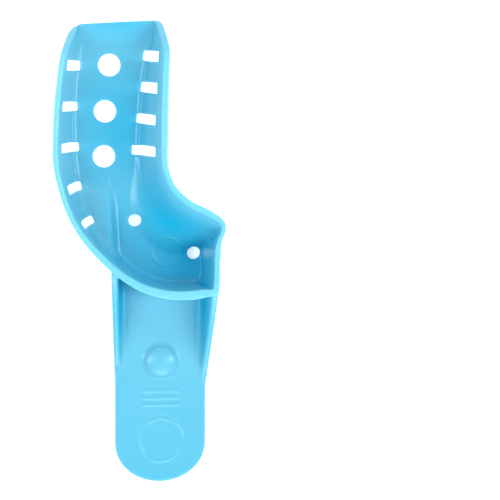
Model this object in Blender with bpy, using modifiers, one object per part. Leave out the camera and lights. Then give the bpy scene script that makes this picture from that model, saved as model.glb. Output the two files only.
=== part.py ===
"""Quadrant dental impression tray: a perforated trough with flared walls on a flat handle.

The tray lies on its back with the open trough up.  X runs across the handle, Y from the handle's
tip to the distal end of the trough, Z up.  Outlines are written in millimetres with x = 0 on the
handle's axis, and one empty carries the whole tray to the middle of its bounding box.
"""
import math

import bmesh
import bpy
from mathutils import Vector

MM = 0.001

# Driving dimensions, in millimetres.
WALL_HEIGHT = 13.0
WALL_THICKNESS = 1.4
LABIAL_THICKNESS = 2.0
FLOOR_THICKNESS = 1.7
CORNER_RADIUS = 0.9
FLANGE_FILLET = 1.5
GAP = 0.3
STEPS_PER_SPAN = 3

DISTAL_RISE = 2.2
DISTAL_RAMP_START = 48.0
DISTAL_END = 54.6
DISTAL_SKEW = 0.065
RIM_FALL_LENGTH = 9.5

STEP_X = -11.6
STEP_START = 17.8
STEP_SLOPE = 0.31
STEP_LEAN = 0.2
RISER_THICKNESS = 1.6
RISER_FILLET = 0.3
RISER_LEAST = 0.1
RISER_BEVEL = 10.0
RAISED_END = 6.0
RAISED_STEPS = 8
RAMP_STEPS = 4
# Y along the riser, and whether it runs under the trough's wall there.
RISER_STATIONS = [(17.4, False), (14.0, False), (10.0, False), (6.0, False), (4.2, False),
                  (3.8, True), (1.4, True), (-0.9, True)]

HANDLE_HALF_WIDTH = 10.75
HANDLE_THICKNESS = 2.4
HANDLE_TIP = -54.6
TIP_LENGTH = 9.4
TIP_STEPS = 20
BLADE_BEVEL = 0.5
BEVEL_ANGLE = 50.0
CORNER_MARGIN = 0.2

GUSSET_THICKNESS = 1.5
GUSSET_TOP = 12.7
GUSSET_LEAST = 0.4
GUSSET_STATIONS = 7
LEFT_GUSSET_END = -25.5
LEFT_GUSSET_FLARE = 0.11
RIGHT_GUSSET_END = -28.0
RIGHT_GUSSET_FLARE = 0.15

DOME_Y = -25.2
DOME_RADIUS = 4.2
DOME_RISE = 1.7
DIMPLE_RADIUS = 3.1
DIMPLE_DEPTH = 1.3
GATE_RADIUS = 0.35
GATE_HEIGHT = 0.6
DOME_STEPS = 32
DOME_RINGS = 6
DOME_MERGE = 0.01

MARK_HEIGHT = 0.25
MARK_ROOT = 0.4
RING_Y = -44.3
RING_RADIUS = 5.3
RING_WIDTH = 0.55
BAR_YS = (-32.4, -34.1, -35.8)
BAR_LENGTH = 8.6
BAR_WIDTH = 0.6

# The tray's bounding box is centred on this point of the handle's frame.
MIDDLE_X = 5.5
MIDDLE_Y = 0.1

# Stations along the wall, from the buccal distal end round the front to the lingual distal end:
# the foot of the outer face on the ground plane, then its rim at full height.  The stretches
# meet smoothly, apart from the sharp corners at both ends of the mesial wall.
STATIONS = {
    "buccal_wall": [
        (-20.2, 52.2, -22.7, 52.2),
        (-20.3, 48.0, -23.2, 48.0),
        (-20.9, 42.0, -23.9, 42.0),
        (-21.4, 35.0, -24.7, 35.0),
        (-21.4, 28.0, -25.05, 28.0),
        (-21.1, 22.5, -25.1, 23.0),
        (-20.4, 17.5, -24.4, 18.3),
        (-19.3, 13.0, -22.75, 12.6),
        (-17.8, 9.0, -20.75, 8.1),
        (-15.7, 5.0, -17.95, 3.8),
        (-13.1, 1.6, -14.95, 0.4),
    ],
    "labial_wall": [
        (-10.4, -1.3, -11.85, -2.6),
        (-7.4, -4.2, -8.3, -5.3),
        (-3.9, -6.6, -4.35, -7.4),
        (0.8, -8.1, 0.7, -8.75),
        (5.5, -8.5, 5.7, -9.0),
    ],
    "mesial_wall": [
        (10.6, -8.0, 12.6, -7.4),
        (10.75, -3.0, 12.8, -3.0),
    ],
    "palatal_flange": [
        (10.75, 2.1, 14.1, 7.6),
        (7.0, 2.2, 12.55, 10.3),
        (4.3, 2.6, 9.55, 12.2),
        (0.5, 4.3, 6.25, 13.8),
        (-2.3, 7.6, 3.05, 16.6),
        (-3.8, 12.0, 1.4, 19.75),
    ],
    "lingual_wall": [
        (-4.3, 17.5, 0.8, 23.0),
        (-4.3, 23.0, 0.8, 27.0),
        (-4.0, 30.0, 0.85, 31.5),
        (-3.5, 37.0, 0.95, 37.5),
        (-2.7, 43.0, 1.1, 43.2),
        (-1.9, 48.5, 1.45, 48.5),
        (-1.2, 53.8, 2.0, 53.8),
    ],
}
SHARP_STRETCHES = ("mesial_wall", "palatal_flange")
CORNER_CLEARANCE = 3.2

# Round holes: x, y, radius.  Slots: x, y, highest z, length across, width, turn in degrees.
CUTTER_LOW = -5.0
CUTTER_DEPTH = 30.0
CUTTER_SIDES = 32
SMALL_HOLE_SIDES = 24
SLOT_LOW = -1.0
LARGE_HOLES = [(-12.0, 44.1, 2.6), (-13.0, 33.5, 2.6), (-13.25, 23.1, 2.6)]
SMALL_HOLES = [(-6.1, 8.2, 1.5), (7.7, 0.5, 1.55)]
BUCCAL_SLOTS = [
    (-20.95, 43.9, 9.4, 4.6, 2.3, 0.0),
    (-21.8, 34.6, 9.6, 5.0, 2.15, 0.0),
    (-21.7, 25.2, 9.6, 5.4, 2.15, 2.0),
    (-20.8, 15.9, 9.4, 4.7, 2.1, 13.0),
    (-17.6, 8.0, 9.4, 3.8, 1.9, 27.0),
]
LINGUAL_SLOTS = [
    (-2.15, 46.2, 9.0, 4.2, 2.4, -8.0),
    (-2.2, 39.0, 9.5, 5.1, 2.4, -6.5),
    (-3.05, 31.8, 9.3, 5.4, 2.3, -5.0),
    (-3.8, 24.6, 9.5, 6.1, 2.3, -1.0),
]

TRAY_BLUE = (0.10, 0.55, 0.83)
ROUGHNESS = 0.38


def clear_scene():
    """Remove every object so the script can be run again."""
    for item in list(bpy.data.objects):
        bpy.data.objects.remove(item, do_unlink=True)


def new_collection(name):
    """Make a collection of this name under the scene."""
    group = bpy.data.collections.new(name)
    bpy.context.scene.collection.children.link(group)
    return group


def plastic(name, tint):
    """Sky-blue semi-gloss moulded plastic; tint scales its brightness."""
    material = bpy.data.materials.new(name)
    material.use_nodes = True
    shader = material.node_tree.nodes["Principled BSDF"]
    colour = [min(1.0, channel * tint) for channel in TRAY_BLUE]
    shader.inputs["Base Color"].default_value = (*colour, 1.0)
    shader.inputs["Roughness"].default_value = ROUGHNESS
    shader.inputs["Metallic"].default_value = 0.0
    return material


def mesh_object(name, points, faces, group, tint=1.0):
    """Turn points in millimetres and faces into an object whose faces point outwards."""
    mesh = bpy.data.meshes.new(name)
    mesh.from_pydata([Vector(point) * MM for point in points], [], faces)
    shape = bmesh.new()
    shape.from_mesh(mesh)
    bmesh.ops.recalc_face_normals(shape, faces=shape.faces)
    shape.to_mesh(mesh)
    shape.free()
    item = bpy.data.objects.new(name, mesh)
    item.data.materials.append(plastic(name + "_plastic", tint))
    group.objects.link(item)
    return item


def catmull_rom(before, start, end, after, share):
    """Point at share between start and end on the smooth curve through all four."""
    square = share * share
    cube = square * share
    return tuple(
        0.5 * (2 * b + (c - a) * share + (2 * a - 5 * b + 4 * c - d) * square
               + (3 * b - a - 3 * c + d) * cube)
        for a, b, c, d in zip(before, start, end, after)
    )


def smooth_run(stations, steps):
    """Stations joined by a smooth curve with this many steps in each span."""
    path = []
    last = len(stations) - 1
    for index in range(last):
        before = stations[max(index - 1, 0)]
        after = stations[min(index + 2, last)]
        for step in range(steps):
            share = step / steps
            path.append(catmull_rom(before, stations[index], stations[index + 1], after, share))
    path.append(stations[last])
    return path


def clear_of_corners(run, corners):
    """Leave out the points of a run that lie closer to a sharp corner than a wall is deep."""
    kept = []
    for point in run:
        distances = [math.dist(point[:2], corner[:2]) for corner in corners]
        if all(gap < 1e-6 or gap > CORNER_CLEARANCE for gap in distances):
            kept.append(point)
    return kept


def wall_path():
    """The whole wall path and, for each stretch, the first and last index along it."""
    runs = [[]]
    for name, stretch in STATIONS.items():
        if name in SHARP_STRETCHES:
            runs[-1].append(stretch[0])
            runs.append([])
        runs[-1].extend(stretch)
    corners = [STATIONS[name][0] for name in SHARP_STRETCHES]
    path = []
    for run in runs:
        points = clear_of_corners(smooth_run(run, STEPS_PER_SPAN), corners)
        path.extend(points if not path else points[1:])
    starts = [path.index(stretch[0]) for stretch in STATIONS.values()]
    ends = starts[1:] + [len(path) - 1]
    return path, dict(zip(STATIONS, zip(starts, ends)))


def distal_edge(x):
    """Y of the distal edge of the trough, which runs slightly askew."""
    return DISTAL_END + DISTAL_SKEW * x


def rim_height(x, y):
    """Height of the rim: level, then falling in a quarter wave to the distal edge."""
    share = min(max((distal_edge(x) - y) / RIM_FALL_LENGTH, 0.0), 1.0)
    lowest = DISTAL_RISE + FLOOR_THICKNESS
    return lowest + (WALL_HEIGHT - lowest) * math.sin(0.5 * math.pi * share)


def step_rise(y):
    """Height of the raised floor's underside beside the step."""
    return max(STEP_START - y, 0.0) * STEP_SLOPE


def distal_rise(y):
    """Height of the underside on the ramp at the distal end."""
    share = (y - DISTAL_RAMP_START) / (DISTAL_END - DISTAL_RAMP_START)
    return DISTAL_RISE * min(max(share, 0.0), 1.0)


def wall_point(station, height):
    """Plan position of the wall's outer face at a height above the ground plane."""
    share = height / WALL_HEIGHT
    return Vector((
        station[0] + (station[2] - station[0]) * share,
        station[1] + (station[3] - station[1]) * share,
    ))


def inward(path, index, height):
    """Mitred normal in plan, from the wall's outer face into the trough."""
    here = wall_point(path[index], height)
    before = wall_point(path[max(index - 1, 0)], height)
    after = wall_point(path[min(index + 1, len(path) - 1)], height)
    normals = []
    for start, end in ((before, here), (here, after)):
        if (end - start).length > 0.0:
            along = (end - start).normalized()
            normals.append(Vector((-along.y, along.x)))
    total = normals[0] + normals[-1]
    return total / (1.0 + normals[0].dot(normals[-1]))


def inner_point(path, index, height, inset):
    """Plan position of a point inset from the wall's outer face at a height."""
    return wall_point(path[index], height) + inward(path, index, height) * inset


def band(name, rings, group, tint=1.0):
    """Closed solid through rings of equal point counts, capped at its first and last ring."""
    count = len(rings[0])
    points = [point for ring in rings for point in ring]
    faces = [tuple(range(count)), tuple(reversed(range(len(points) - count, len(points))))]
    for index in range(len(rings) - 1):
        low = index * count
        for step in range(count):
            after = (step + 1) % count
            faces.append((low + step, low + after, low + count + after, low + count + step))
    return mesh_object(name, points, faces, group, tint)


def shift_ring(ring, neighbour, distance):
    """Ring moved in plan towards its neighbour, which opens the gap to the next stretch."""
    offset = Vector(neighbour[0][:2]) - Vector(ring[0][:2])
    offset = offset.normalized() * distance
    return [(x + offset.x, y + offset.y, z) for x, y, z in ring]


def wall(name, path, span, low_at, group, thickness, fillet=CORNER_RADIUS, tint=1.0):
    """Flared wall with an inside fillet at its foot; low_at gives its underside's height."""
    rings = []
    for index in range(span[0], span[1] + 1):
        low = low_at(wall_point(path[index], 0.0).y)
        floor = low + FLOOR_THICKNESS
        top = rim_height(*wall_point(path[index], WALL_HEIGHT))
        rise = min(fillet, 0.5 * (top - floor))
        outer_low = wall_point(path[index], low)
        outer_top = wall_point(path[index], top)
        crest = inner_point(path, index, top, thickness)
        crease = inner_point(path, index, floor + rise, thickness)
        heel = inner_point(path, index, floor, thickness + fillet)
        toe = inner_point(path, index, low, thickness + fillet)
        rings.append([
            (*outer_low, low),
            (*outer_top, top),
            (*crest, top),
            (*crease, floor + rise),
            (*heel, floor),
            (*toe, low),
        ])
    if span[0] > 0:
        rings[0] = shift_ring(rings[0], rings[1], 0.5 * GAP)
    if span[1] < len(path) - 1:
        rings[-1] = shift_ring(rings[-1], rings[-2], 0.5 * GAP)
    return band(name, rings, group, tint)


def floor_edge(path, span, low_at, inset):
    """Plan points of a floor's edge, inset from the wall's outer face at the underside."""
    return [
        inner_point(path, index, low_at(wall_point(path[index], 0.0).y), inset)
        for index in range(span[0], span[1] + 1)
    ]


def edge_x(edge, y):
    """X of a floor's edge at a given y."""
    for start, end in zip(edge, edge[1:]):
        if min(start.y, end.y) <= y <= max(start.y, end.y) and start.y != end.y:
            return start.x + (end.x - start.x) * (y - start.y) / (end.y - start.y)
    nearest = min(edge, key=lambda point: abs(point.y - y))
    return nearest.x


def plate(name, outline, low, high, group, tint=1.0):
    """Flat plate: a plan outline extruded between two heights."""
    lower = [(x, y, low) for x, y in outline]
    upper = [(x, y, high) for x, y in outline]
    return band(name, [lower, upper], group, tint)


def strip_floor(name, left, right, low_at, group, tint=1.0):
    """Floor that follows the underside between two edges with equal point counts."""
    rings = []
    for (left_x, left_y), (right_x, right_y) in zip(left, right):
        left_low = low_at(left_y)
        right_low = low_at(right_y)
        rings.append([
            (left_x, left_y, left_low),
            (left_x, left_y, left_low + FLOOR_THICKNESS),
            (right_x, right_y, right_low + FLOOR_THICKNESS),
            (right_x, right_y, right_low),
        ])
    return band(name, rings, group, tint)


def front_y(path, span, height, x, offset):
    """Y where the front wall's outer face, moved out by offset, crosses a plan x at a height."""
    points = [inner_point(path, index, height, -offset) for index in range(span[0], span[1] + 1)]
    for start, end in zip(points, points[1:]):
        if min(start.x, end.x) <= x <= max(start.x, end.x) and start.x != end.x:
            return start.y + (end.y - start.y) * (x - start.x) / (end.x - start.x)
    return points[0].y if abs(points[0].x - x) < abs(points[-1].x - x) else points[-1].y


def gusset(name, side, front_end, flare, path, span, group, tint=1.0):
    """Side web of the handle, full height at the bowl and fading out along the blade's edge."""
    base = HANDLE_THICKNESS + GAP
    rings = []
    for index in range(GUSSET_STATIONS):
        share = index / (GUSSET_STATIONS - 1)
        top = GUSSET_TOP + (base + GUSSET_LEAST - GUSSET_TOP) * share
        ring = []
        for height, inset in ((base, 0.0), (top, 0.0), (top, 1.0), (base, 1.0)):
            x = side * (HANDLE_HALF_WIDTH - inset * GUSSET_THICKNESS + flare * height)
            start = front_y(path, span, height, x, GAP) - GAP
            ring.append((x, start + (front_end - start) * share, height))
        rings.append(ring)
    return band(name, rings, group, tint)


def riser_foot(y):
    """X of the riser's foot on the deep floor."""
    return STEP_X + STEP_LEAN * step_rise(y) + RISER_FILLET


def riser(name, group, tint=1.0):
    """Leaning web that joins the raised floor to the deep floor along the step.

    In front of the trough's wall it is only as high as the space under that wall.
    """
    rings = []
    for y, under_wall in RISER_STATIONS:
        rise = step_rise(y)
        crest = rise + FLOOR_THICKNESS
        top = rise - GAP if under_wall else crest
        foot = 0.5 * top if under_wall else FLOOR_THICKNESS
        under = min(rise, top - RISER_LEAST)
        corners = [
            (STEP_X - RISER_THICKNESS + STEP_LEAN * crest, 0.0),
            (STEP_X - RISER_THICKNESS + STEP_LEAN * (crest - under), under),
            (STEP_X - RISER_THICKNESS + STEP_LEAN * (crest - under), top),
            (STEP_X + STEP_LEAN * (crest - top), top),
            (riser_foot(y), foot),
            (riser_foot(y), 0.0),
        ]
        if under_wall:
            rings.append([(x, max(y, x + RISER_BEVEL), z) for x, z in corners])
        else:
            rings.append([(x, y, z) for x, z in corners])
    return band(name, rings, group, tint)


def cutter_object(name, add_primitive, group):
    """Run a primitive operator and move its object to the cutters' collection."""
    add_primitive()
    item = bpy.context.active_object
    item.name = name
    for home in list(item.users_collection):
        home.objects.unlink(item)
    group.objects.link(item)
    item.hide_render = True
    item.display_type = "WIRE"
    return item


def round_cutter(name, x, y, radius, group, low=CUTTER_LOW, depth=CUTTER_DEPTH,
                 sides=CUTTER_SIDES):
    """Upright round cutter."""
    return cutter_object(name, lambda: bpy.ops.mesh.primitive_cylinder_add(
        vertices=sides, radius=radius * MM, depth=depth * MM,
        location=(x * MM, y * MM, (low + 0.5 * depth) * MM)), group)


def box_cutter(name, box, group, low=SLOT_LOW):
    """Upright box cutter: x, y, highest z, length, width and turn in degrees, above low."""
    x, y, high, length, width, turn = box
    item = cutter_object(name, lambda: bpy.ops.mesh.primitive_cube_add(
        size=MM, location=(x * MM, y * MM, 0.5 * (low + high) * MM),
        rotation=(0.0, 0.0, math.radians(turn))), group)
    for vertex in item.data.vertices:
        vertex.co.x *= length
        vertex.co.y *= width
        vertex.co.z *= high - low
    return item


def combine(item, operands, operation="DIFFERENCE"):
    """Boolean each operand with the item, using the exact solver."""
    for operand in operands:
        step = item.modifiers.new(operand.name, "BOOLEAN")
        step.operation = operation
        step.solver = "EXACT"
        step.object = operand


def build_walls(path, spans, tray):
    """The five stretches of wall round the open trough."""
    level = {"thickness": WALL_THICKNESS, "low_at": lambda y: 0.0}
    return {
        "buccal_wall": wall("buccal_wall", path, spans["buccal_wall"],
                            lambda y: step_rise(y) + distal_rise(y), tray, WALL_THICKNESS),
        "labial_wall": wall("labial_wall", path, spans["labial_wall"], group=tray,
                            **(level | {"thickness": LABIAL_THICKNESS}), tint=1.15),
        "mesial_wall": wall("mesial_wall", path, spans["mesial_wall"], group=tray,
                            tint=0.9, **level),
        "palatal_flange": wall("palatal_flange", path, spans["palatal_flange"], group=tray,
                               fillet=FLANGE_FILLET, tint=1.05, **level),
        "lingual_wall": wall("lingual_wall", path, spans["lingual_wall"],
                             distal_rise, tray, WALL_THICKNESS, tint=0.95),
    }


def build_floors(path, spans, tray):
    """Deep floors, the raised floor beside the step, its riser and the distal ramp."""
    inset = WALL_THICKNESS + CORNER_RADIUS + GAP
    buccal = floor_edge(path, spans["buccal_wall"], lambda y: step_rise(y) + distal_rise(y), inset)
    lingual = floor_edge(path, spans["lingual_wall"], distal_rise, inset)
    labial = floor_edge(path, spans["labial_wall"], lambda y: 0.0,
                        LABIAL_THICKNESS + CORNER_RADIUS + GAP)
    mesial = floor_edge(path, spans["mesial_wall"], lambda y: 0.0, inset)
    flange = floor_edge(path, spans["palatal_flange"], lambda y: 0.0,
                        WALL_THICKNESS + FLANGE_FILLET + GAP)

    back, front = DISTAL_RAMP_START, STEP_START
    ramp_left, ramp_right = [], []
    for step in range(RAMP_STEPS + 1):
        share = step / RAMP_STEPS
        for edge, side in ((buccal, ramp_left), (lingual, ramp_right)):
            last = distal_edge(edge_x(edge, DISTAL_END))
            y = back + GAP + (last - back - GAP) * share
            side.append((edge_x(edge, y), y))

    west = [(edge_x(buccal, back), back)]
    west += [tuple(point) for point in buccal if front < point.y < back]
    west.append((edge_x(buccal, front), front))
    east = [(edge_x(lingual, front), front)]
    east += [tuple(point) for point in lingual if front < point.y < back]
    east.append((edge_x(lingual, back), back))

    step_side = riser_foot(RISER_STATIONS[-1][0]) + GAP
    top = front - GAP
    round_front = [tuple(point) for point in labial[:-1] if point.x > step_side]
    corner = (mesial[0].x, labial[-1].y)
    around = [tuple(point) for point in flange[1:]]
    around += [tuple(point) for point in lingual[1:] if point.y < top]
    deep = [(riser_foot(top) + GAP, top), (step_side, front_y(path, spans["labial_wall"], 0.0, step_side, -(
        LABIAL_THICKNESS + CORNER_RADIUS + GAP)))]
    deep += round_front + [corner, (mesial[0].x, flange[0].y)] + around
    deep.append((edge_x(lingual, top), top))

    raised_left, raised_right = [], []
    for step in range(RAISED_STEPS + 1):
        y = top + (RAISED_END - top) * step / RAISED_STEPS
        raised_left.append((edge_x(buccal, y), y))
        raised_right.append((STEP_X - RISER_THICKNESS - GAP, y))
    return {
        "distal_ramp": strip_floor("distal_ramp", ramp_left, ramp_right, distal_rise, tray, 1.1),
        "posterior_floor": plate("posterior_floor", west + east, 0.0, FLOOR_THICKNESS, tray, 0.85),
        "anterior_floor": plate("anterior_floor", deep, 0.0, FLOOR_THICKNESS, tray, 0.7),
        "raised_floor": strip_floor("raised_floor", raised_left, raised_right, step_rise,
                                    tray, 1.0),
        "step_riser": riser("step_riser", tray, 0.8),
    }


def build_blade(path, span, tray, cutters):
    """Handle blade with an elliptical tip, a hole for the dome and raised generic marks."""
    back = []
    for index in range(span[0], span[1] + 1):
        point = inner_point(path, index, HANDLE_THICKNESS, -GAP)
        if abs(point.x) < HANDLE_HALF_WIDTH - CORNER_MARGIN:
            back.append(tuple(point))
    corner_ys = [front_y(path, span, HANDLE_THICKNESS, side * HANDLE_HALF_WIDTH, GAP)
                 for side in (-1.0, 1.0)]
    outline = [(-HANDLE_HALF_WIDTH, corner_ys[0])] + back + [(HANDLE_HALF_WIDTH, corner_ys[1])]
    for step in range(TIP_STEPS + 1):
        angle = math.pi * step / TIP_STEPS
        outline.append((HANDLE_HALF_WIDTH * math.cos(angle),
                        HANDLE_TIP + TIP_LENGTH * (1.0 - math.sin(angle))))
    blade = plate("handle_blade", outline, 0.0, HANDLE_THICKNESS, tray, 1.1)
    edge = blade.modifiers.new("edge", "BEVEL")
    edge.width = BLADE_BEVEL * MM
    edge.segments = 2
    edge.limit_method = "ANGLE"
    edge.angle_limit = math.radians(BEVEL_ANGLE)
    combine(blade, [round_cutter("dome_hole", 0.0, DOME_Y, DOME_RADIUS + GAP, cutters)])

    low = HANDLE_THICKNESS - MARK_ROOT
    depth = MARK_ROOT + MARK_HEIGHT
    ring = round_cutter("ring_mark", 0.0, RING_Y, RING_RADIUS, cutters, low, depth)
    combine(ring, [round_cutter("ring_bore", 0.0, RING_Y, RING_RADIUS - RING_WIDTH, cutters)])
    marks = [ring]
    for y in BAR_YS:
        bar = (0.0, y, HANDLE_THICKNESS + MARK_HEIGHT, BAR_LENGTH, BAR_WIDTH, 0.0)
        marks.append(box_cutter("grip_bar", bar, cutters, low))
    combine(blade, marks, "UNION")
    return blade


def build_dome(tray):
    """Turned plug in the blade: a shallow dome on top, a dimple with a gate nub below."""
    profile = []
    for step in range(DOME_RINGS + 1):
        angle = 0.5 * math.pi * step / DOME_RINGS
        profile.append((DOME_RADIUS * math.sin(angle),
                        HANDLE_THICKNESS + DOME_RISE * math.cos(angle)))
    profile.append((DOME_RADIUS, 0.0))
    for step in range(DOME_RINGS + 1):
        angle = 0.5 * math.pi * step / DOME_RINGS
        profile.append((GATE_RADIUS + (DIMPLE_RADIUS - GATE_RADIUS) * math.cos(angle),
                        DIMPLE_DEPTH * math.sin(angle)))
    profile.append((GATE_RADIUS, DIMPLE_DEPTH - GATE_HEIGHT))
    profile.append((0.0, DIMPLE_DEPTH - GATE_HEIGHT))
    mesh = bpy.data.meshes.new("thumb_dome")
    mesh.from_pydata([(radius * MM, 0.0, height * MM) for radius, height in profile],
                     [(index, index + 1) for index in range(len(profile) - 1)], [])
    item = bpy.data.objects.new("thumb_dome", mesh)
    item.data.materials.append(plastic("thumb_dome_plastic", 1.2))
    item.location = (0.0, DOME_Y * MM, 0.0)
    tray.objects.link(item)
    turn = item.modifiers.new("turn", "SCREW")
    turn.angle = 2.0 * math.pi
    turn.steps = DOME_STEPS
    turn.render_steps = DOME_STEPS
    turn.use_merge_vertices = True
    turn.merge_threshold = DOME_MERGE * MM
    return item


def cut_openings(walls, floors, cutters):
    """Retention holes in the floors and slots through the feet of the side walls."""
    large = [round_cutter("large_hole", *hole, cutters) for hole in LARGE_HOLES]
    small = [round_cutter("small_hole", *hole, cutters, sides=SMALL_HOLE_SIDES)
             for hole in SMALL_HOLES]
    buccal = [box_cutter("buccal_slot", slot, cutters) for slot in BUCCAL_SLOTS]
    lingual = [box_cutter("lingual_slot", slot, cutters) for slot in LINGUAL_SLOTS]
    combine(floors["posterior_floor"], large + buccal[:3] + lingual)
    combine(floors["raised_floor"], buccal[3:])
    combine(floors["anterior_floor"], small)
    combine(walls["buccal_wall"], buccal)
    combine(walls["lingual_wall"], lingual)
    combine(walls["palatal_flange"], small)


def main():
    """Build the tray under one empty at the middle of its bounding box."""
    clear_scene()
    tray = new_collection("impression_tray")
    cutters = new_collection("cutters")
    path, spans = wall_path()
    walls = build_walls(path, spans, tray)
    floors = build_floors(path, spans, tray)
    front = spans["labial_wall"]
    gusset("left_gusset", -1.0, LEFT_GUSSET_END, LEFT_GUSSET_FLARE, path, front, tray, 0.9)
    gusset("right_gusset", 1.0, RIGHT_GUSSET_END, RIGHT_GUSSET_FLARE, path, front, tray, 0.9)
    build_blade(path, front, tray, cutters)
    build_dome(tray)
    cut_openings(walls, floors, cutters)

    middle = bpy.data.objects.new("tray_middle", None)
    middle.location = (MIDDLE_X * MM, MIDDLE_Y * MM, 0.0)
    tray.objects.link(middle)
    for item in list(tray.objects) + list(cutters.objects):
        if item is not middle:
            item.parent = middle
    bpy.context.view_layer.update()


main()
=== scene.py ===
"""Looks of the quadrant impression tray: one continuous moulding in semi-gloss sky-blue plastic.

The moulding is described as a distance field in millimetres, in the handle's frame: x = 0 on the
handle's axis, y towards the distal end of the trough, z up from the flat underside.  Walls,
floors, webs and blade are joined with rounded edges and fillets, holes and slots are taken out,
and the surface is read off the field as a fine quad mesh.
"""

import math

import bpy
import numpy as np
from mathutils import Matrix, Vector


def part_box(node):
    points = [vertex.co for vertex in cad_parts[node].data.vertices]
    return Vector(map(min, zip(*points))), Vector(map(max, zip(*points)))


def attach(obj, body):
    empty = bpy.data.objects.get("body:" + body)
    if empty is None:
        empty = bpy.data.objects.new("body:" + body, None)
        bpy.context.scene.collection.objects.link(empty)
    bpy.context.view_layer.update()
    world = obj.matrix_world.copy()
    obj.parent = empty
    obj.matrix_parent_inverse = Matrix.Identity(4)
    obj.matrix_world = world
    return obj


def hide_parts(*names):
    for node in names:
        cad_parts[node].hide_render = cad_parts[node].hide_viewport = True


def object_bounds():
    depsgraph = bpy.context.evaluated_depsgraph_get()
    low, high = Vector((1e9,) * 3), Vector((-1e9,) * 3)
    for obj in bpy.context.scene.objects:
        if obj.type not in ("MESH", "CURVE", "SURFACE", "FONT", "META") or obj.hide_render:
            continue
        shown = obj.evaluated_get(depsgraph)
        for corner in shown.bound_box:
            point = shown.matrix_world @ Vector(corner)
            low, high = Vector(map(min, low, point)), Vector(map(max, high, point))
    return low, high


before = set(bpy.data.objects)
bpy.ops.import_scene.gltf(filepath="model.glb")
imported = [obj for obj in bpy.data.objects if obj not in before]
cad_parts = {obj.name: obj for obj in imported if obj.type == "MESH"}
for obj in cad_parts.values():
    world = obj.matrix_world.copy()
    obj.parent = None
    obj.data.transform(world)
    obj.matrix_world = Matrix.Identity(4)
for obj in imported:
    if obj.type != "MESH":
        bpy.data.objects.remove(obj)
cad_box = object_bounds()
MM = 0.001

# Driving dimensions of the moulding, in millimetres.
WALL_HEIGHT = 13.0
FLOOR = 1.7
EDGE_ROUND = 0.28
FOOT_ROUND = 0.9

DISTAL_END = 54.5
DISTAL_SKEW = 0.065
DISTAL_RISE = 2.2
RAMP_START = 48.0
RIM_FALL = 9.5
# Plan radius of the distal corner on the lingual side, and what the buccal side has more.
DISTAL_CORNER = 1.2
DISTAL_CORNER_MORE = 1.5

STEP_X = -11.6
STEP_START = 17.8
STEP_SLOPE = 0.31
STEP_LEAN = 0.2
STEP_EDGE_ROUND = 1.1
STEP_FOOT_FILLET = 1.3
RISER = 1.6
RISER_ROUND = 0.5

# Bead along the foot of the side walls: its height, its distance from the wall, its half width
# with and without its soft edges, its front end on the buccal side, how much further back it ends
# on the lingual side, and its length of run-out there.
BEAD = 0.2
BEAD_FROM_WALL = 0.55
BEAD_CORE = 0.1
BEAD_REACH = 0.45
BEAD_FRONT = 6.5
BEAD_FRONT_MORE = 13.0
BEAD_RUN_OUT = 2.0

BLADE = 2.4
BLADE_HALF_WIDTH = 10.75
BLADE_TIP = -54.6
BLADE_ROUND = 0.6
BLADE_BACK = 2.0
TIP_LENGTH = 9.4
TIP_POINTS = 49
# Side webs: side of the handle, where the web runs out on the blade, its flare and where it
# reaches its full height.
WEBS = [(-1.0, -27.0, 0.11, -1.5), (1.0, -29.2, 0.15, -7.4)]
WEB = 1.5
WEB_TOP = 12.7
WEB_ROUND = 0.5
WEB_FOOT = 0.4
WEB_FILLET = 1.3
# How far the blade and the webs run into the trough's wall, and the fillet where they meet it.
BLADE_OVERLAP = 0.9
WEB_OVERLAP = 0.7
WALL_FILLET = 0.9

DOME = (0.0, -25.2)
DOME_RADIUS = 4.05
DOME_RISE = 1.7
DOME_SINK = 0.1
DOME_FILLET = 0.12
DIMPLE_RADIUS = 3.1
DIMPLE_DEPTH = 1.3
DIMPLE_ROUND = 0.3
GATE_RADIUS = 0.35
GATE_TOP = 0.3
GATE_FOOT = 0.7
GATE_ROUND = 0.1

MARK_HEIGHT = 0.2
MARK_CORE = 0.15
MARK_REACH = 0.45
FLOOR_MARK_SHARE = 0.6
RING = (0.0, -44.3)
RING_RADIUS = 5.2
BAR_YS = (-32.4, -34.1, -35.8)
BAR_HALF_LENGTH = 4.1
FLOOR_RING = (1.2, 1.0)
FLOOR_RING_RADIUS = 3.4

VOXEL = 0.27
MARGIN = 1.2
WALL_LAYERS = 14
RELAX_ROUNDS = 3

# Colours and finish of the plastic.  The paler colour, painted light, lies along the rims above a
# given height; the deeper colour is painted shade.
TINTS = ((0.134, 0.495, 0.665, 1.0), (0.148, 0.520, 0.690, 1.0))
# Painted shade: a darker blue mixed in where the trough, step, webs and tip lie in shade.
PAINTED_SHADE_COLOUR = (0.008, 0.415, 0.645, 1.0)
# Painted light: a paler blue mixed in along the rims.
PAINTED_RIM_LIGHT_COLOUR = (0.240, 0.720, 0.900, 1.0)
PAINTED_RIM_LIGHT_SHARE = 0.42
PAINTED_RIM_LIGHT_FROM = 9.5
ROUGHNESS = (0.26, 0.33)
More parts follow.
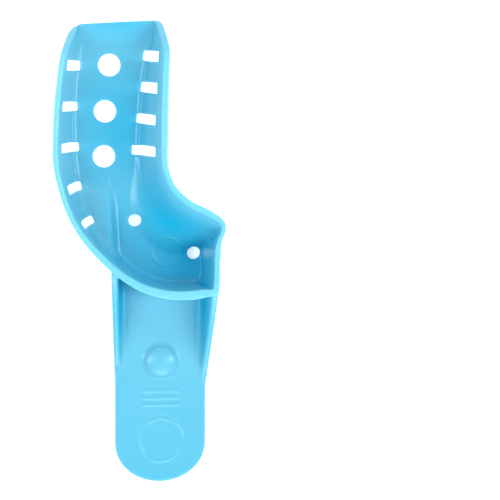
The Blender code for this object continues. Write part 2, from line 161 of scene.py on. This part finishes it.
# Painted shade, a deeper colour standing in for the shade: centre and radii of each place in the
# handle's frame, and its amount.  The first lies in the bowl and stops at the front wall, then come
# the flange, the floor, the step, the ramp, the two webs and the tip.
PAINTED_SHADE_PLACES = [
    ((8.0, -1.0, 0.0), (30.0, 34.0, 22.0), 1.1),
    ((3.0, 9.0, 5.0), (20.0, 18.0, 14.0), 1.1),
    ((-9.0, 30.0, 0.0), (16.0, 22.0, 7.0), 1.0),
    ((-10.0, 5.0, 2.0), (3.4, 14.0, 8.0), 0.8),
    ((-9.5, 53.5, 4.0), (14.0, 8.5, 6.0), 0.7),
    ((-9.9, -9.0, 4.5), (3.0, 19.0, 11.0), 1.3),
    ((9.9, -9.0, 4.5), (3.0, 20.0, 11.0), 1.3),
    ((0.0, -54.0, 0.0), (60.0, 40.0, 30.0), 0.35),
]

# Where the bowl's painted shade ends in front, in the handle's frame.
BOWL_FRONT = (-8.0, -5.0)

# Soft boxes: name, place, width and height in metres, and power in watts.  All face the tray.
LIGHTS = [
    ("left_box", (-1.05, 0.00, 1.20), (0.34, 0.80), 10.2),
    ("right_box", (1.05, 0.00, 1.20), (0.40, 0.80), 11.6),
    ("front_box", (0.10, -1.35, 1.00), (1.20, 0.60), 12.4),
    ("back_box", (0.20, 1.40, 1.20), (1.20, 0.60), 8.4),
]
SKY_STRENGTH = 0.44
PAPER_TINTS = ((0.90, 0.90, 0.90, 1.0), (0.92, 0.92, 0.92, 1.0))
PAPER_GLOW = 0.52
PAPER_HALF_SIZE = 3.0
PAPER_DROP = 0.0002

# Camera, in the handle's frame, in millimetres.
CAMERA_PLACE = (-23.8, 40.5, 320.0)
CAMERA_TARGET = (21.35, 0.9, 0.0)
CAMERA_ROLL = 0.0116
LENS = 98.4
SENSOR = 36.0

# The handle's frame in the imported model, from the blade's own box.
blade_low, blade_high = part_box("handle_blade")
HOME = Vector((0.5 * (blade_low[0] + blade_high[0]), blade_low[1] - BLADE_TIP * MM, 0.0))

# Stations round the wall: foot of the outer face on the ground plane, its rim, the radius of the
# fillet at its inner foot and its thickness.
STATIONS = [
    (-20.1, 60.0, -22.2, 60.0, 0.4, 1.8),
    (-20.2, 52.2, -22.7, 52.2, 0.4, 1.8),
    (-20.3, 48.0, -23.2, 48.0, 0.4, 1.4),
    (-20.9, 42.0, -23.9, 42.0, 0.4, 1.2),
    (-21.4, 35.0, -24.7, 35.0, 0.4, 1.2),
    (-21.4, 28.0, -25.05, 28.0, 0.4, 1.2),
    (-21.1, 22.5, -25.1, 23.0, 0.4, 1.2),
    (-20.4, 17.5, -24.4, 18.3, 0.4, 1.2),
    (-19.3, 13.0, -22.75, 12.6, 0.4, 1.2),
    (-17.8, 9.0, -20.75, 8.1, 0.4, 1.2),
    (-15.7, 5.0, -17.95, 3.8, 0.5, 1.4),
    (-13.1, 1.6, -14.95, 0.4, 0.6, 1.5),
    (-10.4, -1.3, -11.85, -2.6, 0.6, 1.6),
    (-7.4, -4.2, -8.3, -5.3, 0.6, 1.75),
    (-3.9, -6.6, -4.35, -7.4, 0.6, 1.9),
    (0.8, -8.1, 0.7, -8.75, 0.5, 2.0),
    (5.5, -8.5, 5.7, -9.0, 0.4, 2.1),
    (8.6, -8.3, 9.4, -8.5, 0.4, 2.1),
    (10.1, -8.0, 11.7, -7.85, 0.4, 1.9),
    (10.6, -7.2, 12.6, -6.9, 0.4, 1.5),
    (10.75, -4.5, 12.8, -4.5, 0.4, 1.35),
    (10.75, -0.6, 12.85, 0.4, 0.4, 1.35),
    (10.7, 1.0, 13.15, 4.5, 1.0, 1.35),
    (10.3, 1.9, 14.0, 6.7, 2.5, 1.15),
    (9.2, 2.2, 14.05, 8.6, 4.0, 1.05),
    (7.3, 2.2, 12.65, 10.3, 4.5, 1.05),
    (4.3, 2.6, 9.55, 12.2, 5.0, 1.05),
    (0.5, 4.3, 6.25, 13.8, 5.0, 1.05),
    (-2.3, 7.6, 3.05, 16.6, 4.5, 1.05),
    (-3.8, 12.0, 1.4, 19.75, 3.6, 1.05),
    (-4.3, 17.5, 0.8, 23.0, 1.3, 1.25),
    (-4.3, 23.0, 0.8, 27.0, 0.5, 1.4),
    (-4.0, 30.0, 0.85, 31.5, 0.4, 1.45),
    (-3.5, 37.0, 0.95, 37.5, 0.4, 1.45),
    (-2.7, 43.0, 1.1, 43.2, 0.4, 1.45),
    (-1.9, 48.5, 1.45, 48.5, 0.4, 1.5),
    (-1.2, 53.8, 2.0, 53.8, 0.4, 1.5),
    (-0.9, 60.0, 2.4, 60.0, 0.4, 1.5),
]
STEPS_PER_SPAN = 5

# Round holes: x, y, radius.  Slots: x, y, highest z, length across, width, turn in degrees.
HOLES = [
    (-12.0, 44.1, 2.6), (-13.0, 33.5, 2.6), (-13.25, 23.1, 2.6),
    (-6.1, 8.2, 1.5), (7.7, 0.5, 1.55),
]
SLOTS = [
    (-20.95, 43.9, 9.4, 4.6, 2.3, 0.0),
    (-21.8, 34.6, 9.6, 5.0, 2.15, 0.0),
    (-21.7, 25.2, 9.6, 5.4, 2.15, 2.0),
    (-20.8, 15.9, 9.4, 4.7, 2.1, 13.0),
    (-17.6, 8.0, 9.4, 3.8, 1.9, 27.0),
    (-2.15, 46.2, 9.0, 4.2, 2.4, -8.0),
    (-2.2, 39.0, 9.5, 5.1, 2.4, -6.5),
    (-3.05, 31.8, 9.3, 5.4, 2.3, -5.0),
    (-3.8, 24.6, 9.5, 6.1, 2.3, -1.0),
]
SLOT_CORNER = 0.35
HOLE_EDGE_ROUND = 0.15


# ---------------------------------------------------------------- field helpers

def blend(low, high, value):
    """0 below low, 1 above high and a smooth step between."""
    share = np.clip((value - low) / (high - low), 0.0, 1.0)
    return share * share * (3.0 - 2.0 * share)


def soft_positive(value, width):
    """max(value, 0) with a parabola of this width at the bend."""
    near = np.clip(value + width, 0.0, 2.0 * width)
    return np.where(value > width, value, near * near / (4.0 * width))


def both(a, b, radius):
    """Space inside a and b, its outer edge rounded to a radius."""
    corner = np.hypot(np.maximum(radius + a, 0.0), np.maximum(radius + b, 0.0))
    return np.minimum(-radius, np.maximum(a, b)) + corner


def either(a, b, radius):
    """Space inside a or b, with a fillet of this radius where they meet."""
    corner = np.hypot(np.maximum(radius - a, 0.0), np.maximum(radius - b, 0.0))
    return np.maximum(radius, np.minimum(a, b)) - corner


def catmull_rom(points, steps):
    """Points on a smooth curve through an open list of points."""
    rows = np.asarray(points, dtype=float)
    last = len(rows) - 1
    curve = []
    for index in range(last):
        a, b = rows[max(index - 1, 0)], rows[index]
        c, d = rows[index + 1], rows[min(index + 2, last)]
        for step in range(steps):
            t = step / steps
            curve.append(0.5 * (2.0 * b + (c - a) * t + (2.0 * a - 5.0 * b + 4.0 * c - d) * t * t
                                + (3.0 * b - a - 3.0 * c + d) * t ** 3))
    curve.append(rows[last])
    return np.array(curve)


def outline_distance(outline, x, y):
    """Signed distance in plan to a closed outline, negative inside."""
    nearest = np.full(x.shape, np.inf)
    inside = np.zeros(x.shape, dtype=bool)
    for (x0, y0), (x1, y1) in zip(outline, np.roll(outline, -1, axis=0)):
        dx, dy = x1 - x0, y1 - y0
        length = dx * dx + dy * dy
        if length < 1e-12:
            continue
        share = np.clip(((x - x0) * dx + (y - y0) * dy) / length, 0.0, 1.0)
        away = (x - x0 - share * dx) ** 2 + (y - y0 - share * dy) ** 2
        nearest = np.minimum(nearest, away)
        if dy != 0.0:
            inside ^= ((y0 > y) != (y1 > y)) & (x < x0 + dx * (y - y0) / dy)
    return np.where(inside, -1.0, 1.0) * np.sqrt(nearest)


def spread(path, x, y):
    """Fillet and thickness of the nearest stretch of wall, passing smoothly between stretches."""
    middle = 0.5 * (path[:, :2] + path[:, 2:4])
    total = np.zeros(x.shape + (2,))
    weight = np.zeros(x.shape)
    for start, end, here, after in zip(middle, middle[1:], path, path[1:]):
        centre = 0.5 * (start + end)
        away = (x - centre[0]) ** 2 + (y - centre[1]) ** 2 + 0.5
        share = np.hypot(*(end - start)) / away ** 3
        total += share[..., None] * 0.5 * (here[4:] + after[4:])
        weight += share
    total /= weight[..., None]
    return total[..., 0][:, :, None], total[..., 1][:, :, None]


def wall_distance(path, x, y, heights):
    """Distance to the flared outer wall for every grid point, as a volume."""
    keys = np.linspace(heights[0], heights[-1], WALL_LAYERS)
    layers = []
    for height in keys:
        outline = path[:, :2] + (path[:, 2:4] - path[:, :2]) * height / WALL_HEIGHT
        layers.append(outline_distance(outline, x, y))
    volume = np.empty(x.shape + (len(heights),))
    for index, height in enumerate(heights):
        place = (height - keys[0]) / (keys[1] - keys[0])
        below = min(int(place), len(keys) - 2)
        share = place - below
        volume[:, :, index] = layers[below] * (1.0 - share) + layers[below + 1] * share
    slopes = np.gradient(volume, VOXEL)
    steep = np.sqrt(sum(slope * slope for slope in slopes))
    return volume / np.maximum(steep, 1.0)


# ---------------------------------------------------------------- the moulding's parts

def between_faces(z):
    """1 between the blade's top and the rim, falling to 0 at both, where the fillets run out."""
    return blend(1.0, 2.2, z) * blend(12.6, 11.4, z)


def step_rise(y):
    """Height of the raised floor's underside beside the step."""
    return soft_positive(STEP_START - y, 2.0) * STEP_SLOPE


def distal_rise(y):
    """Height of the underside on the ramp at the distal end."""
    return soft_positive(y - RAMP_START, 1.5) * DISTAL_RISE / (DISTAL_END - RAMP_START)


def rim_height(x, y):
    """Height of the rim: level, then falling in a quarter wave to the distal edge."""
    share = np.clip((DISTAL_END + DISTAL_SKEW * x - y) / RIM_FALL, 0.0, 1.0)
    lowest = DISTAL_RISE + FLOOR
    return lowest + (WALL_HEIGHT - lowest) * np.sin(0.5 * math.pi * share)


def bead(x, y, z, inner_wall, rise):
    """Height of the low bead that runs along the foot of the side walls."""
    front = BEAD_FRONT + BEAD_FRONT_MORE * blend(-12.0, -8.0, x)
    along_foot = blend(BEAD_REACH, BEAD_CORE, np.abs(inner_wall + BEAD_FROM_WALL))
    lengthwise = blend(-BEAD_RUN_OUT, BEAD_RUN_OUT, y - front) * blend(50.0, 48.0, y)
    return BEAD * along_foot * lengthwise * blend(rise + 3.4, rise + 2.4, z)


def trough(x, y, z, wall, fillet, thickness):
    """The perforated trough, without its holes."""
    rise = step_rise(y)
    step = (x - STEP_X - STEP_LEAN * (rise + FLOOR - z)) / math.hypot(1.0, STEP_LEAN)
    steep = math.hypot(1.0, STEP_SLOPE)
    ramp = distal_rise(y)
    ramp_steep = math.hypot(1.0, DISTAL_RISE / (DISTAL_END - RAMP_START))

    edge = (y - DISTAL_END - DISTAL_SKEW * x) / math.hypot(1.0, DISTAL_SKEW)
    corner = DISTAL_CORNER + DISTAL_CORNER_MORE * blend(-6.0, -15.0, x)
    outside = both(wall, edge, corner)
    outside = both(outside, (ramp - z) / ramp_steep, FOOT_ROUND)
    hollow_below = np.maximum((z - rise) / steep, step + RISER)
    outside = both(outside, -hollow_below, RISER_ROUND)
    rim = rim_height(x, y)
    fall = np.gradient(rim[:, :, 0], VOXEL, axis=1)[:, :, None]
    outside = both(outside, (z - rim) / np.hypot(1.0, fall), EDGE_ROUND)

    cavity = both(wall + thickness, (ramp + FLOOR - z) / ramp_steep, fillet)
    raised = both((z - rise - FLOOR) / steep, step, STEP_EDGE_ROUND)
    cavity = both(cavity, -raised, STEP_FOOT_FILLET * blend(0.2, 2.0, rise))
    return both(outside, -(cavity + bead(x, y, z, wall + thickness, rise)), EDGE_ROUND)


def handle(x, y, z, wall):
    """Flat blade with a side web along each edge, and a volume that is 1 between the webs."""
    sides = np.linspace(0.0, math.pi, TIP_POINTS)
    tip = np.stack([BLADE_HALF_WIDTH * np.cos(sides),
                    BLADE_TIP + TIP_LENGTH * (1.0 - np.sin(sides))], axis=1)
    back = [(-BLADE_HALF_WIDTH, BLADE_BACK), (BLADE_HALF_WIDTH, BLADE_BACK)]
    plan = outline_distance(np.concatenate([tip, back]), x[:, :, 0], y[:, :, 0])[:, :, None]
    blade = both(plan, np.abs(z - 0.5 * BLADE) - 0.5 * BLADE, BLADE_ROUND)
    blade = np.maximum(blade, -(wall + BLADE_OVERLAP))

    inside = np.ones_like(wall)
    for side, end, flare, start in WEBS:
        outer = (side * x - BLADE_HALF_WIDTH - flare * z) / math.hypot(1.0, flare)
        slope = (WEB_TOP - BLADE) / (start - end)
        top = (z - BLADE - (y - end) * slope) / math.hypot(1.0, slope)
        web = both(np.abs(outer + 0.5 * WEB) - 0.5 * WEB, top, WEB_ROUND)
        web = both(web, z - WEB_TOP, WEB_ROUND)
        web = np.maximum(web, y - start - WEB)
        web = np.maximum(web, WEB_FOOT - z)
        web = np.maximum(web, -(wall + WEB_OVERLAP))
        on_inside = blend(-0.5, -1.2, outer)
        inside = inside * on_inside
        blade = either(blade, web, WEB_FILLET * on_inside * between_faces(z))
    return blade, inside


def dome_and_dimple(body, x, y, z):
    """Thumb dome on the working side, dimple with a gate nub on the back."""
    reach = np.hypot(x - DOME[0], y - DOME[1])
    above = (z - BLADE + DOME_SINK) / (DOME_RISE + DOME_SINK)
    swell = np.sqrt((reach / DOME_RADIUS) ** 2 + above ** 2)
    body = either(body, (swell - 1.0) * DOME_RISE, DOME_FILLET)
    hollow = np.sqrt((reach / DIMPLE_RADIUS) ** 2 + (z / DIMPLE_DEPTH) ** 2)
    body = both(body, -(hollow - 1.0) * DIMPLE_DEPTH, DIMPLE_ROUND)
    nub = both(reach - GATE_RADIUS, z - DIMPLE_DEPTH - GATE_TOP, GATE_ROUND)
    nub = np.maximum(nub, DIMPLE_DEPTH - GATE_FOOT - z)
    return np.minimum(body, nub)


def pierce(body, x, y, z):
    """Round retention holes, then the slots through the feet of the side walls."""
    for hole_x, hole_y, radius in HOLES:
        body = both(body, radius - np.hypot(x - hole_x, y - hole_y), HOLE_EDGE_ROUND)
    for slot_x, slot_y, high, length, width, turn in SLOTS:
        angle = math.radians(turn)
        along = (x - slot_x) * math.cos(angle) + (y - slot_y) * math.sin(angle)
        across = (y - slot_y) * math.cos(angle) - (x - slot_x) * math.sin(angle)
        slot = both(np.abs(along) - 0.5 * length, np.abs(across) - 0.5 * width, SLOT_CORNER)
        slot = both(slot, z - high, SLOT_CORNER)
        body = both(body, -slot, HOLE_EDGE_ROUND)
    return body


def raise_marks(points):
    """Lift points of the mesh, in millimetres, for the low marks on the blade and the deep floor."""
    x, y, z = points.T
    line = np.abs(np.hypot(x - RING[0], y - RING[1]) - RING_RADIUS)
    dome_line = np.abs(np.hypot(x - DOME[0], y - DOME[1]) - DOME_RADIUS - DOME_SINK) + DOME_SINK
    line = np.minimum(line, dome_line)
    for bar_y in BAR_YS:
        bar = np.hypot(np.maximum(np.abs(x) - BAR_HALF_LENGTH, 0.0), y - bar_y)
        line = np.minimum(line, bar)
    on_blade = (np.abs(z - BLADE - 0.1) < 0.3) & (y < -10.0)
    floor_line = np.abs(np.hypot(x - FLOOR_RING[0], y - FLOOR_RING[1]) - FLOOR_RING_RADIUS)
    on_floor = (z > FLOOR - 0.2) & (z < 5.0) & (y > -8.0)
    points[:, 2] += MARK_HEIGHT * blend(MARK_REACH, MARK_CORE, line) * on_blade
    floor_height = FLOOR_MARK_SHARE * MARK_HEIGHT
    points[:, 2] += floor_height * blend(MARK_REACH, MARK_CORE, floor_line) * on_floor


def moulding_field():
    """The whole moulding as a volume of distances, with the grid's origin."""
    low = np.array(cad_box[0]) / MM - np.array(HOME) / MM - MARGIN
    high = np.array(cad_box[1]) / MM - np.array(HOME) / MM + MARGIN
    axes = [np.arange(start, end, VOXEL) for start, end in zip(low, high)]
    x, y = (grid[:, :, None] for grid in np.meshgrid(axes[0], axes[1], indexing="ij"))
    z = axes[2][None, None, :]
    path = catmull_rom(STATIONS, STEPS_PER_SPAN)
    wall = wall_distance(path, x[:, :, 0], y[:, :, 0], axes[2])
    body = trough(x, y, z, wall, *spread(path, x[:, :, 0], y[:, :, 0]))
    blade, inside = handle(x, y, z, wall)
    body = either(body, blade, WALL_FILLET * inside * between_faces(z))
    body = dome_and_dimple(body, x, y, z)
    body = pierce(body, x, y, z)
    return body, np.array([axis[0] for axis in axes])


# ---------------------------------------------------------------- surface of a field

def sample(field, places):
    """Trilinear values of a field at places given in grid steps."""
    base = np.clip(places.astype(int), 0, np.array(field.shape) - 2)
    share = places - base
    total = np.zeros(len(places))
    for corner in np.ndindex(2, 2, 2):
        weight = np.prod(np.where(corner, share, 1.0 - share), axis=1)
        total += weight * field[tuple((base + corner).T)]
    return total


def surface_net(field):
    """Quads round every sign change of a field, with one vertex in each crossed cell."""
    inside = field < 0.0
    cells = tuple(size - 1 for size in field.shape)
    total = np.zeros(cells + (3,))
    count = np.zeros(cells)
    for axis in range(3):
        others = [other for other in range(3) if other != axis]
        for offset in np.ndindex(2, 2):
            start = [slice(0, size) for size in cells]
            for other, shift in zip(others, offset):
                start[other] = slice(shift, cells[other] + shift)
            end = list(start)
            end[axis] = slice(1, cells[axis] + 1)
            near, far = field[tuple(start)], field[tuple(end)]
            crossed = inside[tuple(start)] != inside[tuple(end)]
            place = np.where(crossed, near / np.where(crossed, near - far, 1.0), 0.0)
            total[..., axis] += place
            for other, shift in zip(others, offset):
                total[..., other] += shift * crossed
            count += crossed
    active = count > 0
    index = np.full(cells, -1)
    index[active] = np.arange(active.sum())
    places = np.argwhere(active) + total[active] / count[active][:, None]
    quads = []
    for axis in range(3):
        first, second = [other for other in range(3) if other != axis]
        here = inside.take(range(cells[axis]), axis=axis)
        there = inside.take(range(1, cells[axis] + 1), axis=axis)
        edges = np.argwhere(here != there)
        keep = (edges[:, first] > 0) & (edges[:, second] > 0)
        keep &= (edges[:, first] < cells[first]) & (edges[:, second] < cells[second])
        edges = edges[keep]
        ring = []
        for step_first, step_second in ((1, 1), (0, 1), (0, 0), (1, 0)):
            cell = edges.copy()
            cell[:, first] -= step_first
            cell[:, second] -= step_second
            ring.append(index[tuple(cell.T)])
        ring = np.stack(ring, axis=1)
        outward = inside[tuple(edges.T)] ^ (axis == 1)
        ring[~outward] = ring[~outward, ::-1]
        quads.append(ring)
    return places, np.concatenate(quads)


def relax(field, places, quads, rounds):
    """Even out the vertices along the surface and put them back on it."""
    slopes = np.gradient(field)
    for _ in range(rounds):
        total = np.zeros_like(places)
        count = np.zeros(len(places))
        for side in range(4):
            here, after = quads[:, side], quads[:, (side + 1) % 4]
            for target, source in ((here, after), (after, here)):
                for axis in range(3):
                    total[:, axis] += np.bincount(target, places[source, axis], len(places))
                count += np.bincount(target, minlength=len(places))
        places = 0.4 * places + 0.6 * total / count[:, None]
        for _ in range(2):
            value = sample(field, places)
            slope = np.stack([sample(part, places) for part in slopes], axis=1)
            steep = np.maximum((slope * slope).sum(axis=1), 1e-6)
            move = np.clip(value / steep, -0.5, 0.5)
            places = places - move[:, None] * slope
    return places


def moulding():
    """The tray's mesh object."""
    field, origin = moulding_field()
    places, quads = surface_net(field)
    places = relax(field, places, quads, RELAX_ROUNDS)
    points = origin + places * VOXEL
    raise_marks(points)
    points = np.clip(points * MM + np.array(HOME), np.array(cad_box[0]), np.array(cad_box[1]))
    mesh = bpy.data.meshes.new("tray_moulding")
    mesh.from_pydata(points.tolist(), [], quads.tolist())
    mesh.shade_smooth()
    item = bpy.data.objects.new("tray_moulding", mesh)
    bpy.context.scene.collection.objects.link(item)
    return item


# ---------------------------------------------------------------- materials

def math_socket(material, operation, first, second):
    """Result of a Math node on a socket and on another socket or a number."""
    links = material.node_tree.links
    node = material.node_tree.nodes.new("ShaderNodeMath")
    node.operation = operation
    links.new(first, node.inputs[0])
    if isinstance(second, float):
        node.inputs[1].default_value = second
    else:
        links.new(second, node.inputs[1])
    return node.outputs["Value"]


def painted_shade_share(material, place, height):
    """Socket for the painted shade, 1 in the deepest parts of the trough and falling to 0 towards
    its rims.
    """
    nodes, links = material.node_tree.nodes, material.node_tree.links
    front = nodes.new("ShaderNodeMapRange")
    front.inputs["From Min"].default_value = HOME.y + BOWL_FRONT[0] * MM
    front.inputs["From Max"].default_value = HOME.y + BOWL_FRONT[1] * MM
    links.new(height.outputs["Y"], front.inputs["Value"])
    deepest = None
    for centre, radii, amount in PAINTED_SHADE_PLACES:
        fit = nodes.new("ShaderNodeMapping")
        middle = HOME + Vector(centre) * MM
        fit.inputs["Scale"].default_value = [1.0 / (radius * MM) for radius in radii]
        fit.inputs["Location"].default_value = [
            -value / (radius * MM) for value, radius in zip(middle, radii)]
        fade = nodes.new("ShaderNodeTexGradient")
        fade.gradient_type = "SPHERICAL"
        links.new(place.outputs["Object"], fit.inputs["Vector"])
        links.new(fit.outputs["Vector"], fade.inputs["Vector"])
        here = math_socket(material, "MULTIPLY", fade.outputs["Fac"], amount)
        if deepest is None:
            deepest = math_socket(material, "MULTIPLY", here, front.outputs["Result"])
        else:
            deepest = math_socket(material, "MAXIMUM", deepest, here)
    return deepest


def moulded_plastic():
    """Sky-blue semi-gloss plastic, with painted shade in the trough and painted light along the
    rims.
    """
    material = bpy.data.materials.new("sky_blue_plastic")
    material.use_nodes = True
    nodes, links = material.node_tree.nodes, material.node_tree.links
    shader = nodes["Principled BSDF"]
    shader.inputs["IOR"].default_value = 1.49
    shader.inputs["Specular IOR Level"].default_value = 0.36
    shader.inputs["Subsurface Weight"].default_value = 0.40
    shader.inputs["Subsurface Radius"].default_value = (0.5, 0.9, 1.0)
    shader.inputs["Subsurface Scale"].default_value = 0.0015
    place = nodes.new("ShaderNodeTexCoord")

    flow = nodes.new("ShaderNodeTexNoise")
    flow.inputs["Scale"].default_value = 45.0
    flow.inputs["Detail"].default_value = 3.0
    tint = nodes.new("ShaderNodeValToRGB")
    tint.color_ramp.elements[0].position = 0.3
    tint.color_ramp.elements[0].color = TINTS[0]
    tint.color_ramp.elements[1].position = 0.7
    tint.color_ramp.elements[1].color = TINTS[1]
    links.new(place.outputs["Object"], flow.inputs["Vector"])
    links.new(flow.outputs["Fac"], tint.inputs["Fac"])

    # Painted light: the paler colour mixed in towards the rims, rising with height.
    height = nodes.new("ShaderNodeSeparateXYZ")
    rim_light_share = nodes.new("ShaderNodeMapRange")
    rim_light_share.inputs["From Min"].default_value = PAINTED_RIM_LIGHT_FROM * MM
    rim_light_share.inputs["To Max"].default_value = PAINTED_RIM_LIGHT_SHARE
    rim_light_share.inputs["From Max"].default_value = WALL_HEIGHT * MM
    pale = nodes.new("ShaderNodeMix")
    pale.data_type = "RGBA"
    pale.inputs["B"].default_value = PAINTED_RIM_LIGHT_COLOUR
    links.new(place.outputs["Object"], height.inputs["Vector"])
    links.new(height.outputs["Z"], rim_light_share.inputs["Value"])
    links.new(rim_light_share.outputs["Result"], pale.inputs["Factor"])
    # Painted shade: the deeper colour mixed in where the trough, step, webs and tip lie in shade.
    deep = nodes.new("ShaderNodeMix")
    deep.data_type = "RGBA"
    deep.inputs["B"].default_value = PAINTED_SHADE_COLOUR
    links.new(painted_shade_share(material, place, height), deep.inputs["Factor"])
    links.new(tint.outputs["Color"], deep.inputs["A"])
    links.new(deep.outputs["Result"], pale.inputs["A"])
    links.new(pale.outputs["Result"], shader.inputs["Base Color"])

    gloss = nodes.new("ShaderNodeMapRange")
    gloss.inputs["To Min"].default_value = ROUGHNESS[0]
    gloss.inputs["To Max"].default_value = ROUGHNESS[1]
    links.new(flow.outputs["Fac"], gloss.inputs["Value"])
    links.new(gloss.outputs["Result"], shader.inputs["Roughness"])

    skin = nodes.new("ShaderNodeTexNoise")
    skin.inputs["Scale"].default_value = 900.0
    skin.inputs["Detail"].default_value = 2.0
    bump = nodes.new("ShaderNodeBump")
    bump.inputs["Strength"].default_value = 0.06
    bump.inputs["Distance"].default_value = 0.0001
    links.new(place.outputs["Object"], skin.inputs["Vector"])
    links.new(skin.outputs["Fac"], bump.inputs["Height"])
    links.new(bump.outputs["Normal"], shader.inputs["Normal"])
    return material


def floor_material():
    """Plain pale studio paper, slightly luminous so that it stays white under the holes."""
    material = bpy.data.materials.new("studio_paper")
    material.use_nodes = True
    nodes, links = material.node_tree.nodes, material.node_tree.links
    shader = nodes["Principled BSDF"]
    shader.inputs["Roughness"].default_value = 0.9
    shader.inputs["Specular IOR Level"].default_value = 0.1
    shader.inputs["Emission Color"].default_value = (1.0, 1.0, 1.0, 1.0)
    shader.inputs["Emission Strength"].default_value = PAPER_GLOW
    place = nodes.new("ShaderNodeTexCoord")
    grain = nodes.new("ShaderNodeTexNoise")
    grain.inputs["Scale"].default_value = 300.0
    tint = nodes.new("ShaderNodeValToRGB")
    tint.color_ramp.elements[0].color = PAPER_TINTS[0]
    tint.color_ramp.elements[1].color = PAPER_TINTS[1]
    links.new(place.outputs["Object"], grain.inputs["Vector"])
    links.new(grain.outputs["Fac"], tint.inputs["Fac"])
    links.new(tint.outputs["Color"], shader.inputs["Base Color"])
    return material


# ---------------------------------------------------------------- studio

def studio_floor():
    """Wide pale floor under the tray."""
    mesh = bpy.data.meshes.new("studio_floor")
    size = PAPER_HALF_SIZE
    mesh.from_pydata([(-size, -size, 0.0), (size, -size, 0.0), (size, size, 0.0),
                      (-size, size, 0.0)], [], [(0, 1, 2, 3)])
    item = bpy.data.objects.new("studio_floor", mesh)
    item.location = (0.0, 0.0, cad_box[0][2] - PAPER_DROP)
    item.data.materials.append(floor_material())
    bpy.context.scene.collection.objects.link(item)


def area_light(name, place, size, power):
    """Soft box at a place, turned to the tray."""
    light = bpy.data.lights.new(name, "AREA")
    light.shape = "RECTANGLE"
    light.size, light.size_y = size
    light.energy = power
    item = bpy.data.objects.new(name, light)
    item.location = place
    item.rotation_euler = (-Vector(place)).to_track_quat("-Z", "Y").to_euler()
    bpy.context.scene.collection.objects.link(item)


def studio_lights():
    """Soft boxes on four sides of the tray, far enough away to light it evenly, and a white sky."""
    for name, place, size, power in LIGHTS:
        area_light(name, place, size, power)
    world = bpy.data.worlds.new("studio")
    world.use_nodes = True
    sky = world.node_tree.nodes["Background"]
    sky.inputs["Color"].default_value = (1.0, 1.0, 1.0, 1.0)
    sky.inputs["Strength"].default_value = SKY_STRENGTH
    bpy.context.scene.world = world
    bpy.context.scene.view_settings.view_transform = "Standard"


def camera():
    """Camera above the trough's buccal side, aimed beside the tray so that it lies left in frame."""
    lens = bpy.data.cameras.new("camera")
    lens.sensor_width = SENSOR
    lens.lens = LENS
    lens.clip_start = 0.01
    lens.clip_end = 10.0
    item = bpy.data.objects.new("camera", lens)
    place = HOME + Vector(CAMERA_PLACE) * MM
    look = (HOME + Vector(CAMERA_TARGET) * MM - place).normalized()
    right = look.cross(Vector((0.0, 1.0, 0.0))).normalized()
    up = right.cross(look)
    turn = Matrix((right, up, -look)).transposed() @ Matrix.Rotation(CAMERA_ROLL, 3, "Z")
    item.matrix_world = Matrix.Translation(place) @ turn.to_4x4()
    bpy.context.scene.collection.objects.link(item)
    bpy.context.scene.camera = item


tray = moulding()
tray.data.materials.append(moulded_plastic())
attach(tray, "root")
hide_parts(*[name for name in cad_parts])
studio_floor()
studio_lights()
camera()
